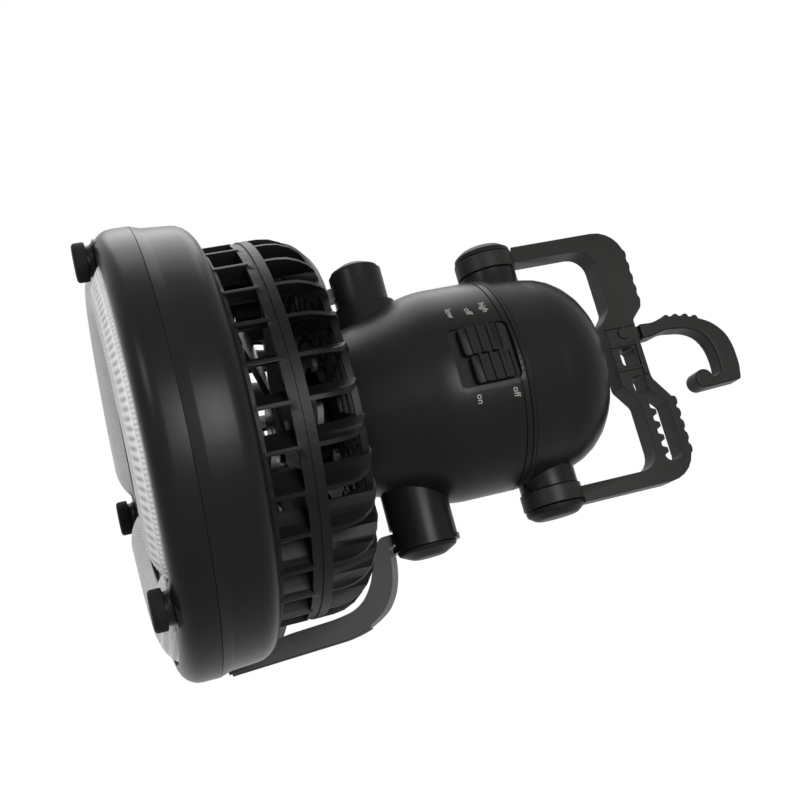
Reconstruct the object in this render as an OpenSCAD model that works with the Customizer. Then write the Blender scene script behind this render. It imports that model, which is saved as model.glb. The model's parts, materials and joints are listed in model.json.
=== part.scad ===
// Portable camping fan with an LED ring light, standing face down on its three feet.
// +Z runs along the fan axis from the feet to the hanging hook.
// +X runs along the hinge axes of the stand and the handle, and the stand lies on the +Y side.

/* [Head] */
// Radius of the round light head at its parting line
head_r = 82.5; // [80:0.5:84]
// Height of the head's front rim above the feet
rim_h = 7; // [6.5:0.1:8]
// Depth of the front bezel, from its rim to the parting line
bezel_depth = 13; // [12:0.5:15]
// Depth of the rear shell, from the parting line to the back of the head
shell_depth = 22; // [20:0.5:24]
// Wall of the head's two mouldings
head_wall = 2.4; // [2:0.1:2.8]
// Radius of the head's front edge
front_round = 7.4; // [5:0.1:7.5]
// Radius of the head's rear edge
rear_round = 8; // [6:0.5:10]
// How far the rear shell steps in behind its lip
shell_step = 1.3; // [0.6:0.1:1.6]
// Depth of the full-size lip behind the parting line
lip_depth = 4; // [3:0.5:6]
// How much the rear shell narrows from its lip to its back
shell_taper = 1.2; // [0.5:0.1:2]
// Angle of the first foot, measured from +X
foot_angle = 84; // [80:1:88]
// Distance from the head's side to the middle of a foot
foot_inset = 10; // [8:0.5:10.5]
// Radius of a rubber foot
foot_r = 7; // [5:0.1:7.2]
// Height of a rubber foot
foot_h = 4.5; // [3.5:0.1:5.5]

/* [Light] */
// Distance from the head's side to the middle of the ring lens
lens_inset = 21.3; // [20.7:0.1:22]
// Width of a lens segment between its edges in the bezel
lens_w = 26.5; // [24:0.5:27]
// Height of the lens's crest in front of its edges
lens_crown = 5.9; // [3:0.1:6.4]
// Thickness of the lens
lens_wall = 1.6; // [1.2:0.1:2]
// Angle from a foot to the middle of the nearest lens end
lens_end_angle = 16; // [15.5:0.5:20]
// Number of LEDs round the ring
led_count = 18; // [12:3:24]
// Radius of one LED
led_r = 2.5; // [1.5:0.1:3]

/* [Fan cage] */
// Outer radius of the fan cage
cage_r = 70.8; // [69:0.2:71.6]
// Length of the cage's front half
cage_front_len = 15.6; // [14:0.2:18]
// Width of the solid band round the cage's rear half
band_w = 3.2; // [2.6:0.1:5]
// Length of the cage's rear half
cage_rear_len = 23.4; // [23:0.2:25]
// Radius of the cage's rear shoulder
shoulder_r = 16.5; // [12:0.5:17]
// Number of louvre ribs round the cage
rib_count = 30; // [24:1:34]
// Thickness of a louvre rib
rib_t = 1.5; // [1.3:0.1:2.2]
// Radial depth of a louvre rib
rib_depth = 9.4; // [8:0.2:10]
// How far a rib curves sideways over its depth
rib_lean = 4.5; // [2:0.5:6]

/* [Fan] */
// Radius swept by the fan blades
fan_r = 57.5; // [52:0.5:58.5]
// Number of fan blades
blade_count = 5; // [3:1:6]
// Radius of the fan's hub
fan_hub_r = 14; // [12:0.5:16]
// Radius of the motor can
motor_r = 12; // [10:0.5:12.5]
// Length of the motor can
motor_len = 20; // [18:0.5:22]
// Radius of the motor shaft
shaft_r = 1.5; // [1:0.1:2]

/* [Body] */
// Largest radius of the battery housing
body_r = 41.5; // [41:0.1:43]
// Radius of the housing's neck behind the cage
neck_r = 28.6; // [28.2:0.1:30]
// Length of the front housing, from the cage to its seam
body_len = 65; // [65:0.5:68]
// Radius of the rear cover where its rounding begins
dome_r = 39; // [38.6:0.1:39.4]
// Radius of the rear cover's rounded end
dome_round = 24; // [20:0.5:25]
// Length of the rear cover, from the seam to its end
cover_len = 42.2; // [42:0.1:43]
// Wall of the housing and the cover
body_wall = 2.1; // [1.8:0.1:2.4]
// Radius of a D cell
cell_r = 17; // [16.6:0.1:17.1]
// Length of a D cell without its button
cell_len = 59.5; // [57:0.5:60]

/* [Switches] */
// Width of a slider's thumb piece
thumb_w = 10.6; // [9:0.1:11]
// Length of a slider's thumb piece
thumb_len = 15.4; // [13:0.1:16]
// Height of a slider's thumb piece above the pocket's floor
thumb_h = 3; // [2:0.1:3.4]
// Travel of a slider from its middle position to either end
slide_step = 3.6; // [3:0.1:4]
// Depth from the housing's surface to the pocket's floor
pocket_depth = 3; // [2:0.1:3.4]

/* [Stand] */
// Distance from the housing's neck to the stand's hinge axis
stand_hinge_len = 24; // [23.6:0.1:25]
// Radius of the stand's hinge boss on the toothed side
stand_boss_r = 12.3; // [12:0.1:12.6]
// Radius of the slimmer hinge boss on the other side
slim_boss_r = 10.4; // [10.2:0.1:11]
// Angle between the folded stand and the fan axis
fold_angle = 28; // [28:0.5:31]
// How far the stand's half ring reaches inside the head's side
ring_inset = 8.5; // [7:0.1:8.7]
// Width of a stand leg, measured along the hinge
leg_w = 13; // [11:0.1:13.4]
// Depth of a stand leg, across its hinge
leg_d = 8.6; // [7:0.1:9]
// Length of a stand leg, from the hinge to the end
leg_len = 86.5; // [86:0.5:100]
// Length of the stand's half ring, measured along the legs
ring_len = 9; // [6:0.5:12]
// Radius of the stand's hinge pins
stand_pin_r = 4.5; // [3.5:0.1:5]

/* [Handle] */
// Distance from the housing's seam to the handle's hinge axis
handle_hinge_len = 12.5; // [12.2:0.1:13]
// Radius of the cover's two hinge stems
stem_r = 11.3; // [10.5:0.1:11.6]
// Distance from the axis to the end of a hinge stem
stem_end = 44.5; // [44:0.1:45]
// Distance from the axis to the outside of a handle arm
handle_half_w = 53.2; // [52.6:0.1:55]
// Thickness of a handle arm
arm_t = 6.4; // [5.4:0.1:7]
// Depth of the handle, across its hinge
handle_d = 11; // [10:0.1:12]
// Distance from the handle's hinge axis to the outer edge of its outer rail
handle_reach = 60.8; // [60:0.1:63]
// Thickness of the outer rail
outer_rail_t = 3.8; // [3:0.1:4.4]
// Thickness of the toothed inner rail
inner_rail_t = 3.5; // [3.2:0.1:4.2]
// Width of the toothed slot between the rails
slot_w = 8; // [7:0.1:8.4]
// Thickness of the solid half of the grip
grip_t = 14.3; // [12:0.1:15]
// Outer radius of the handle's corners
handle_corner_r = 12; // [9:0.5:14]
// Radius of the handle's hinge pins
handle_pin_r = 5; // [4:0.1:6]
// Number of teeth in the slot
tooth_count = 4; // [2:1:5]

/* [Hook] */
// Distance from the fan axis to the hook's pin
hook_offset = 9.2; // [8.6:0.1:9.8]
// Width of the hook in its own plane
hook_w = 6.4; // [5:0.1:6.8]
// Thickness of the hook across its plane
hook_d = 9; // [7:0.1:10]
// Inner radius of the hook's bend
hook_bend_r = 11; // [10:0.1:11.4]
// Length from the hook's pin to the middle of its bend
hook_reach = 29.5; // [28:0.5:32]
// Radius of the ball at the hook's tip
hook_tip_r = 3.6; // [3:0.1:4]
// Radius of the hook's pin
hook_pin_r = 1.4; // [1.2:0.1:1.6]

/* [Hidden] */

$fn = 96;
// Running gap between pieces of different bodies
gap = 0.4;
// Radial clearance of a pin in its bore
fit = 0.06;
// Overlap that makes cuts run clear through
eps = 0.5;

foot_count = 3;
foot_angles = [for (i = [0:foot_count - 1]) foot_angle + i * 360 / foot_count];

// Stations along the fan axis
seam_z = rim_h + bezel_depth;
head_back_z = seam_z + shell_depth;
cage_split_z = head_back_z + cage_front_len;
neck_z = cage_split_z + cage_rear_len;
body_seam_z = neck_z + body_len;
cover_z = body_seam_z + gap;
cover_end_z = body_seam_z + cover_len;
stand_z = neck_z + stand_hinge_len;
handle_z = body_seam_z + handle_hinge_len;

// Points of an arc from angle a0 to a1 about the point c
function arc_pts(c, r, a0, a1, n = 8) =
    [for (i = [0:n]) c + r * [cos(a0 + (a1 - a0) * i / n), sin(a0 + (a1 - a0) * i / n)]];

// The same arc without its last point, to be joined by another
function open_arc(c, r, a0, a1, n) = [for (i = [0:n - 1]) arc_pts(c, r, a0, a1, n)[i]];

function unit(v) = v / norm(v);

// The points that round the corner c between p and q by the radius r
function corner_pts(p, c, q, r, n) =
    r == 0 ? [[c.x, c.y]] :
    let (u = unit(p - c), v = unit(q - c), half = acos(u * v) / 2,
         m = c + unit(u + v) * r / sin(half),
         t0 = c + u * r / tan(half), t1 = c + v * r / tan(half),
         b0 = atan2((t0 - m).y, (t0 - m).x),
         turn = atan2((t1 - m).y, (t1 - m).x) - b0,
         sweep = turn > 180 ? turn - 360 : turn < -180 ? turn + 360 : turn)
    arc_pts(m, r, b0, b0 + sweep, n);

// An outline through corner points [x, y, radius], each corner rounded by its radius
function rounded(pts, n = 6) = [for (i = [0:len(pts) - 1])
    let (a = pts[(i + len(pts) - 1) % len(pts)], c = pts[i], b = pts[(i + 1) % len(pts)])
    each corner_pts([a.x, a.y], [c.x, c.y], [b.x, b.y], c[2], n)];

// Lays a drawing made in X and Y into the X-Z plane, with its thickness centred on Y
module in_xz(thickness) {
    translate([0, thickness / 2, 0]) in_xz_out(thickness) children();
}

// Lays a drawing into the X-Z plane, with its thickness towards -Y
module in_xz_out(thickness) {
    rotate([90, 0, 0]) linear_extrude(thickness) children();
}

// Repeats a piece on both ends of a hinge
module both_sides() {
    children();
    mirror([1, 0, 0]) children();
}

// A cylinder along X from x0 to x1 at the height z
module rod_x(r, x0, x1, z) {
    translate([x0, 0, z]) rotate([0, 90, 0]) cylinder(r = r, h = x1 - x0);
}

// A flat ring from the radius r0 to the radius r1, standing on the height z
module ring(r0, r1, z, h) {
    translate([0, 0, z]) linear_extrude(h) difference() {
        circle(r1);
        circle(r0);
    }
}

// Places a piece at the radius r beside each foot
module at_feet(r) {
    for (a = foot_angles) rotate(a) translate([r, 0, 0]) children();
}

/* Head: bezel, rear shell, feet and the ring light */

lens_half = lens_w / 2;
lens_mid_r = head_r - lens_inset;
foot_pitch_r = head_r - foot_inset;
lens_flange = 1.4;
// Width of the bezel between the lens and the central grille
grille_margin = 3.4;
lens_edge_z = rim_h + lens_wall;
flange_z = rim_h + head_wall;
lens_back_z = flange_z + lens_wall;
// Radius of the arc across the lens
lens_arc_r = (lens_half ^ 2 + lens_crown ^ 2) / (2 * lens_crown);
lens_arc_z = lens_edge_z - lens_crown + lens_arc_r;
lens_sweep = 360 / foot_count - 2 * lens_end_angle;
grille_r = lens_mid_r - lens_half - grille_margin;
screw_boss_r = 3.1;
screw_post_r = 3.9;
screw_r = 1.3;
screw_bite = 8;
screw_head_r = 2.6;
screw_head_h = 1.8;
boss_split_z = seam_z + lip_depth;
duct_wall = 1.8;
duct_back_r = cage_r - rib_depth + 0.2;
// The head screws stand midway between the duct and the rear shell's inside
screw_pitch_r = (duct_back_r + head_r - shell_step - shell_taper - head_wall) / 2;
board_t = 1.6;
led_z = lens_back_z + 4.6;
board_z = led_z + board_t;

// Steps along a light segment's side and round its end
lens_n = 16;
lens_m = 8;

// Outline of a light segment of half width w, with round ends, starting at its first end
function lens_loop(w) =
    let (far = lens_mid_r * [cos(lens_sweep), sin(lens_sweep)])
    concat(open_arc([0, 0], lens_mid_r + w, 0, lens_sweep, lens_n),
           open_arc(far, w, lens_sweep, lens_sweep + 180, lens_m),
           open_arc([0, 0], lens_mid_r - w, lens_sweep, 0, lens_n),
           open_arc([lens_mid_r, 0], w, 180, 360, lens_m));

// The faces that close a level of the lens: a strip between its two sides, and its two ends
function lens_caps(first, count) =
    let (mirrored = count - lens_m)
    concat([for (j = [0:lens_n - 1])
            [first + j, first + j + 1, first + mirrored - j - 1, first + mirrored - j]],
        [[for (j = [lens_n:lens_n + lens_m]) first + j]],
        [[for (j = [mirrored:count]) first + j % count]]);

// The half width and height of each level of the lens, from its crest round its edge to its underside
function lens_levels() =
    let (levels = 6, crest_a = 2.5, r_in = lens_arc_r - lens_wall,
         a_out = asin(lens_half / lens_arc_r), a_in = acos((lens_arc_z - lens_back_z) / r_in),
         dome = function (r, a) [r * sin(a), lens_arc_z - r * cos(a)])
    concat([for (i = [0:levels]) dome(lens_arc_r, crest_a + (a_out - crest_a) * i / levels)],
           [[lens_half, flange_z], [lens_half + lens_flange, flange_z], [lens_half + lens_flange, lens_back_z]],
           [for (i = [levels:-1:0]) dome(r_in, crest_a + (a_in - crest_a) * i / levels)]);

module lens_segment(i) {
    levels = lens_levels();
    count = len(lens_loop(lens_half));
    last = len(levels) - 1;
    points = [for (l = levels) each [for (p = lens_loop(l[0])) [p.x, p.y, l[1]]]];
    sides = [for (k = [0:last - 1]) for (j = [0:count - 1]) let (n = (j + 1) % count)
        [(k + 1) * count + j, (k + 1) * count + n, k * count + n, k * count + j]];
    crest = lens_caps(0, count);
    underside = [for (f = lens_caps(last * count, count)) [for (j = [len(f) - 1:-1:0]) f[j]]];
    color([0.86, 0.88, 0.9]) rotate(foot_angles[i] + lens_end_angle)
        polyhedron(points, concat(sides, crest, underside), convexity = 4);
}

module bezel() {
    r_in = head_r - head_wall;
    neck_h = rim_h - foot_h;
    neck_fillet = 1.8;
    neck_sink = 0.25;
    neck_top = neck_h + 3;
    color([0.07, 0.07, 0.075]) {
        difference() {
            union() {
                rotate_extrude() polygon(rounded([
                    [grille_r, rim_h, 0], [head_r, rim_h, front_round], [head_r, seam_z, 0],
                    [r_in, seam_z, 0], [r_in, flange_z, front_round - head_wall], [grille_r, flange_z, 0]]));
                at_feet(screw_pitch_r) translate([0, 0, rim_h + eps])
                    cylinder(r = screw_boss_r, h = boss_split_z - rim_h - eps);
            }
            for (a = foot_angles) rotate(a + lens_end_angle) translate([0, 0, rim_h - eps])
                linear_extrude(head_wall + 2 * eps) polygon(lens_loop(lens_half + gap));
            at_feet(screw_pitch_r) translate([0, 0, flange_z + 2]) cylinder(r = screw_r, h = boss_split_z);
        }
        // Necks that carry the rubber feet, their fillets sunk a little into the rim
        at_feet(foot_pitch_r) translate([0, 0, foot_h]) rotate_extrude() polygon(concat(
            [[0, 0], [foot_r + 0.4 - neck_fillet, 0]],
            arc_pts([foot_r + 0.4, neck_h + neck_sink - neck_fillet], neck_fillet, 180, 90, 4),
            [[foot_r + 0.4, neck_top], [0, neck_top]]));
    }
}

module head_shell() {
    lip_z = seam_z + lip_depth;
    back_r = head_r - shell_step - shell_taper;
    color([0.07, 0.07, 0.075]) difference() {
        union() {
            rotate_extrude() polygon(rounded([
                [head_r - head_wall, seam_z, 0], [head_r - 0.3, seam_z, 0], [head_r, seam_z + 0.3, 0],
                [head_r, lip_z, 0], [head_r - shell_step, lip_z + shell_step / 2, 0],
                [back_r, head_back_z, rear_round], [duct_back_r, head_back_z, 0],
                [duct_back_r, head_back_z - head_wall, 0],
                [back_r - head_wall, head_back_z - head_wall, rear_round - head_wall],
                [head_r - shell_step - head_wall, lip_z + shell_step / 2, 0],
                [head_r - head_wall, lip_z - head_wall, 0]]));
            at_feet(screw_pitch_r) translate([0, 0, boss_split_z])
                cylinder(r = screw_post_r, h = head_back_z - boss_split_z - eps);
        }
        at_feet(screw_pitch_r) translate([0, 0, seam_z]) cylinder(r = screw_r + fit, h = shell_depth + eps);
        at_feet(screw_pitch_r) translate([0, 0, head_back_z - screw_head_h])
            cylinder(r = screw_head_r + fit, h = screw_head_h + eps);
    }
}

module head_screws() {
    color("silver") at_feet(screw_pitch_r) {
        translate([0, 0, boss_split_z - screw_bite])
            cylinder(r = screw_r, h = head_back_z - boss_split_z + screw_bite - screw_head_h / 2);
        translate([0, 0, head_back_z - screw_head_h]) cylinder(r = screw_head_r, h = screw_head_h - 0.2);
    }
}

module feet() {
    color([0.03, 0.03, 0.03]) at_feet(foot_pitch_r) rotate_extrude() polygon(rounded([
        [0, 0, 0], [foot_r, 0, 1.2], [foot_r, foot_h, 0.6], [0, foot_h, 0]], 4));
}

module reflector() {
    w = lens_half + 0.6;
    color("white") difference() {
        rotate_extrude() translate([lens_mid_r, 0]) for (side = [0, 1]) mirror([side, 0]) polygon([
            [0, led_z], [w - 5, led_z], [w - 2, lens_back_z], [w + 0.6, lens_back_z],
            [w + 0.6, lens_back_z + 1.4], [w - 1.2, lens_back_z + 1.4], [w - 3.6, board_z], [0, board_z]]);
        at_leds() cylinder(r = led_r + gap, h = board_z + eps);
        at_feet(screw_pitch_r) cylinder(r = screw_boss_r + gap, h = board_z + eps);
    }
}

// Places a piece at each LED, clear of the screws beside the feet
module at_leds() {
    step = 360 / led_count;
    for (i = [0:led_count - 1]) rotate(foot_angle + step * (i + 0.5)) translate([lens_mid_r, 0, 0]) children();
}

module led_board() {
    w = lens_half - 2;
    color([0.1, 0.35, 0.2]) difference() {
        ring(lens_mid_r - w, lens_mid_r + w, board_z, board_t);
        at_feet(screw_pitch_r) cylinder(r = screw_boss_r + gap, h = seam_z + eps);
    }
}

module leds() {
    dome_z = board_z - led_r - 0.4;
    color([0.95, 0.93, 0.75]) at_leds() {
        translate([0, 0, dome_z]) cylinder(r = led_r, h = board_z - dome_z);
        translate([0, 0, dome_z]) sphere(led_r);
    }
}

module front_grille() {
    bar = 1.6;
    bar_h = 2.6;
    hub = 9;
    rings = 3;
    spokes = 12;
    pitch = (grille_r - hub) / (rings + 1);
    flange_w = 1.7;
    color([0.07, 0.07, 0.075]) {
        ring(grille_r - flange_w, grille_r + flange_w, flange_z, lens_wall);
        translate([0, 0, flange_z]) linear_extrude(bar_h) {
            circle(hub);
            for (i = [1:rings]) difference() {
                circle(hub + i * pitch);
                circle(hub + i * pitch - bar);
            }
            for (i = [0:spokes - 1]) rotate(i * 360 / spokes) translate([hub - 1, -bar / 2])
                square([grille_r - hub, bar]);
        }
    }
}

module air_duct() {
    flare_z = seam_z + 3;
    r_front = grille_r + 0.1;
    color([0.07, 0.07, 0.075]) rotate_extrude() polygon(rounded([
        [r_front, lens_back_z, 0], [r_front + duct_wall, lens_back_z, 0], [r_front + duct_wall, flare_z, 10],
        [duct_back_r, head_back_z - 4, 3], [duct_back_r, head_back_z, 0],
        [duct_back_r - duct_wall, head_back_z, 0],
        [duct_back_r - duct_wall, head_back_z - 3.6, 4], [r_front, flare_z + 0.6, 12]], 5));
}

/* Fan cage, fan and motor */

cage_wall = 3;
cage_back_t = 3.8;
neck_ring_in = 21;
// How far the cage's parts run into one another where they join
cage_lap = 1;
fan_depth = 12.4;
fan_front_z = cage_split_z;
fan_back_z = fan_front_z + fan_depth;
motor_z = fan_back_z + 3;

// A louvre rib seen along the fan axis, curving sideways as it runs inwards
module rib_section(inner_r) {
    steps = 4;
    line = [for (i = [0:steps]) let (s = i / steps) [cage_r - s * rib_depth, -rib_lean * s ^ 2]];
    r_end = min(inner_r, cage_r - rib_depth);
    end = [r_end, -rib_lean];
    centre = concat(line, r_end < cage_r - rib_depth ? [end] : []);
    polygon(concat([for (p = centre) p + [0, rib_t / 2]],
        [for (i = [len(centre) - 1:-1:0]) centre[i] - [0, rib_t / 2]]));
}

module cage_front() {
    ring_w = 3.6;
    foot_ring_h = 1.8;
    inset = 0.5;
    color([0.07, 0.07, 0.075]) {
        ring(duct_back_r, cage_r - inset, head_back_z, foot_ring_h);
        ring(cage_r - cage_wall, cage_r - inset, cage_split_z - ring_w, ring_w);
        intersection() {
            ring(0, cage_r - 0.1, head_back_z, cage_front_len);
            for (i = [0:rib_count - 1]) rotate(i * 360 / rib_count) translate([0, 0, head_back_z + cage_lap])
                linear_extrude(cage_front_len - ring_w) rib_section(cage_r);
        }
    }
}

// The space that the ribs of the rear half fill, over the shoulder and down to the neck
module basket_profile() {
    z0 = cage_split_z + band_w - cage_lap;
    r_in = cage_r - rib_depth;
    polygon(rounded([
        [cage_r, z0, 0], [cage_r, neck_z, shoulder_r], [neck_ring_in, neck_z, 0],
        [neck_ring_in, neck_z - cage_back_t, 0], [r_in, neck_z - cage_back_t, shoulder_r - 4], [r_in, z0, 0]]));
}

module cage_rear() {
    slats = 4;
    slat_w = 1.6;
    slat_h = 2.4;
    slat_r0 = neck_r + 6;
    slat_pitch = (cage_r - rib_depth - 3 - slat_r0) / (slats - 1);
    color([0.07, 0.07, 0.075]) difference() {
        union() {
            ring(cage_r - cage_wall, cage_r, cage_split_z, band_w);
            ring(neck_ring_in, neck_r + 1.5, neck_z - cage_back_t, cage_back_t);
            for (i = [0:slats - 1])
                ring(slat_r0 + i * slat_pitch - slat_w, slat_r0 + i * slat_pitch, neck_z - cage_back_t, slat_h);
            intersection() {
                rotate_extrude() basket_profile();
                for (i = [0:rib_count - 1]) rotate(i * 360 / rib_count) translate([0, 0, cage_split_z])
                    linear_extrude(cage_rear_len + eps) rib_section(neck_r - cage_lap);
            }
        }
        at_neck_screws() cylinder(r = neck_screw_r + fit, h = neck_bore_h, center = true);
    }
}

neck_screw_r = 1.3;
neck_screw_pitch_r = 24.4;
mount_t = 2;
neck_flange_t = 3;
neck_bore_h = 30;

module at_neck_screws() {
    for (a = [45:90:315]) rotate(a) translate([neck_screw_pitch_r, 0, neck_z]) children();
}

module neck_screws() {
    head_h = 1.6;
    color("silver") at_neck_screws() {
        translate([0, 0, -cage_back_t - head_h]) cylinder(r = neck_screw_r * 2, h = head_h);
        translate([0, 0, -cage_back_t - head_h / 2])
            cylinder(r = neck_screw_r, h = cage_back_t + mount_t + neck_flange_t);
    }
}

module motor_mount() {
    sleeve_t = 1.8;
    color([0.1, 0.1, 0.1]) difference() {
        union() {
            ring(motor_r, neck_r - body_wall - 0.2, neck_z, mount_t);
            ring(motor_r, motor_r + sleeve_t, motor_z + 1, motor_len);
        }
        at_neck_screws() cylinder(r = neck_screw_r + fit, h = neck_bore_h, center = true);
    }
}

module motor() {
    bush_r = 3.4;
    bush_h = 1.4;
    color("silver") difference() {
        union() {
            translate([0, 0, motor_z]) cylinder(r = motor_r, h = motor_len);
            translate([0, 0, motor_z - bush_h]) cylinder(r = bush_r, h = bush_h + eps);
        }
        translate([0, 0, motor_z - bush_h - eps]) cylinder(r = shaft_r + fit, h = motor_len);
    }
}

module motor_shaft() {
    shaft_z = fan_front_z + 3;
    color("silver") translate([0, 0, shaft_z]) cylinder(r = shaft_r, h = motor_z - shaft_z + 0.75 * motor_len);
}

module fan_blades() {
    hub_wall = 2;
    blade_t = 2;
    bend_r = 0.78 * fan_r;
    pitch = 20;
    mid_z = (fan_front_z + fan_back_z) / 2;
    fan_h = fan_back_z - fan_front_z;
    color([0.25, 0.25, 0.26]) difference() {
        union() {
            rotate_extrude() polygon(rounded([
                [0, fan_front_z + 1, 0], [fan_hub_r, fan_front_z + 1, 3], [fan_hub_r, fan_back_z, 0],
                [fan_hub_r - hub_wall, fan_back_z, 0], [fan_hub_r - hub_wall, fan_front_z + 1 + hub_wall, 1],
                [0, fan_front_z + 1 + hub_wall, 0]]));
            translate([0, 0, fan_front_z + 2]) cylinder(r = shaft_r + 2, h = fan_h - 2);
            // Each blade is part of a thin drum whose axis runs outwards
            for (i = [0:blade_count - 1]) rotate(i * 360 / blade_count) intersection() {
                translate([0, -bend_r * sin(pitch), mid_z - bend_r * cos(pitch)]) rotate([0, 90, 0]) difference() {
                    cylinder(r = bend_r + blade_t / 2, h = fan_r + eps);
                    translate([0, 0, -eps]) cylinder(r = bend_r - blade_t / 2, h = fan_r + 3 * eps);
                }
                translate([0, 0, fan_front_z]) linear_extrude(fan_h) blade_outline();
            }
        }
        cylinder(r = shaft_r, h = neck_z);
    }
}

// A blade seen along the fan axis, narrow at the hub and broad at the tip
module blade_outline() {
    root = fan_hub_r - 1;
    intersection() {
        circle(fan_r);
        polygon(rounded([[root, -6, 0], [fan_r - 14, -17, 16], [fan_r + 6, -17, 0],
            [fan_r + 6, 17, 0], [fan_r - 8, 17, 14], [root, 7, 0]]));
    }
}

/* Body: housing, battery cells and switches */

pocket_w = 2 * thumb_w + 4 * gap;
pocket_len = thumb_len + 2 * slide_step + 2 * gap;
pocket_margin = 1.3;
pocket_z = body_seam_z - pocket_margin - pocket_len / 2;
pocket_floor_y = -(body_r - pocket_depth);
slider_x = thumb_w / 2 + gap / 2;
pocket_round = 2;
thumb_round = 1.2;
stem_w = 3;
stem_len = 4;
// The fan slider rests in the middle and the light slider at its off end
light_rest_z = pocket_z + slide_step / 2;
board_y = pocket_floor_y + 7.4;
cell_x = cell_r + 0.1;
cell_z = neck_z + 27.5;
button_h = 2;
bulkhead_t = 2.4;

// Where the housing reaches its full radius, as a share of its length
shoulder_share = 0.6;
// The stand's hinge, measured outwards from the fan axis: the tongues turn between the boss and its lip
boss_end = 55;
tongue_in = 46.6;
tongue_out = 52;
tongue_r = 8;
cap_t = 2;
collar_end = 40.5;
cap_seat_r = slim_boss_r - 1.5;
stand_sweep = 62;
// The switches sit a little to one side of the hinge plane
switch_angle = -5;

// The housing's outline, moved inwards by its wall when inset is set
function housing_pts(inset) = let (d = inset ? body_wall : 0)
    [[neck_r - d, neck_z, 0], [body_r - d, neck_z + shoulder_share * body_len, 40 - d],
     [body_r - d, body_seam_z, 0]];

module housing_solid(inset) {
    low = inset ? -eps : 0;
    pts = housing_pts(inset);
    rotate_extrude() polygon(rounded(concat([[0, neck_z + low, 0], [pts[0].x, neck_z + low, 0]], pts,
        [[pts[2].x, body_seam_z - low, 0], [0, body_seam_z - low, 0]]), 8));
}

module front_housing() {
    lip_r = stand_boss_r + 0.5;
    boss_in = neck_r - 8;
    bore_in = neck_r + 10;
    block_w = pocket_w + 5;
    spigot_r = body_r - body_wall - 0.9;
    spigot_t = 1.6;
    spigot_z = body_seam_z - 6;
    post_r = 1.8;
    color([0.07, 0.07, 0.075]) difference() {
        union() {
            difference() {
                union() {
                    housing_solid(false);
                    rod_x(stand_boss_r, boss_in, boss_end, stand_z);
                    rod_x(lip_r, boss_end - cap_t, boss_end, stand_z);
                    mirror([1, 0, 0]) {
                        rod_x(slim_boss_r, boss_in, boss_end, stand_z);
                        rod_x(stand_boss_r, boss_in, collar_end, stand_z);
                    }
                }
                housing_solid(true);
            }
            // Wall behind the switch pocket
            intersection() {
                housing_solid(false);
                rotate(switch_angle)
                    translate([-block_w / 2, pocket_floor_y - pocket_depth, pocket_z - pocket_len / 2 - 2])
                    cube([block_w, pocket_depth + 2.2, pocket_len + 3]);
            }
            // Flange that the neck screws hold
            ring(neck_ring_in, neck_r - 1, neck_z + mount_t, neck_flange_t);
            // Spigot that centres the rear cover
            ring(spigot_r - spigot_t, spigot_r, spigot_z, 10);
            ring(spigot_r - spigot_t, body_r - 1, spigot_z, 3);
            // Posts that carry the switch board
            rotate(switch_angle) for (sx = [-1, 1]) for (sz = [-1, 1])
                translate([sx * (pocket_w / 2 + 1), board_y, pocket_z + sz * (pocket_len / 2 - 2)])
                    rotate([90, 0, 0]) cylinder(r = post_r, h = board_y - pocket_floor_y);
        }
        rotate(switch_angle) {
            translate([0, pocket_floor_y, 0]) in_xz_out(pocket_depth + 2) polygon(rounded([
                for (c = [[-1, -1], [1, -1], [1, 1], [-1, 1]])
                [c.x * pocket_w / 2, pocket_z + c.y * pocket_len / 2, pocket_round]], 4));
            for (sx = [-1, 1]) translate([sx * slider_x - stem_w / 2 - gap, pocket_floor_y - eps,
                pocket_z - stem_len / 2 - slide_step - gap])
                cube([stem_w + 2 * gap, 6, stem_len + 2 * (slide_step + gap)]);
        }
        both_sides() {
            // Cavity, window and pin bore for the stand's tongue
            rod_x(tongue_r + gap, tongue_in - gap, tongue_out + gap, stand_z);
            translate([tongue_in - gap, 0, stand_z]) rotate([90, 0, 90])
                linear_extrude(tongue_out - tongue_in + 2 * gap) window_sector();
            rod_x(stand_pin_r + fit, bore_in, boss_end + eps, stand_z);
            rod_x(cap_seat_r, boss_end - cap_t, boss_end + eps, stand_z);
        }
        at_neck_screws() cylinder(r = neck_screw_r, h = neck_bore_h, center = true);
        // Fine groove ahead of the seam
        ring(body_r - 0.5, body_r + 1, body_seam_z - 2.6, 0.5);
    }
}

// The sweep of a stand leg about its hinge, drawn with Y across and Z up
module window_sector() {
    side = asin((leg_d / 2 + gap) / tongue_r) + 1;
    first = -90 + fold_angle - side;
    reach = stand_boss_r + 3;
    polygon(concat([[0, 0]], arc_pts([0, 0], reach, first, first + stand_sweep + 2 * side, 16)));
}

module stand_caps() {
    color([0.05, 0.05, 0.055]) {
        stand_cap(stand_boss_r - 0.9);
        mirror([1, 0, 0]) stand_cap(slim_boss_r - 0.6);
    }
}

// A domed cap of radius r with the pin that the stand turns on
module stand_cap(r) {
    dome_h = 4;
    plug_r = cap_seat_r - 0.1;
    rod_x(stand_pin_r, neck_r + 11, boss_end - 1, stand_z);
    translate([boss_end - cap_t + 0.1, 0, stand_z]) rotate([0, 90, 0]) rotate_extrude() polygon(rounded([
        [0, 0, 0], [plug_r, 0, 0], [plug_r, cap_t, 0], [r, cap_t, 0], [r - 0.4, cap_t + 1.4, 1.2],
        [r - 5.5, cap_t + dome_h, 5], [0, cap_t + dome_h, 0]], 4));
}

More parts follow.
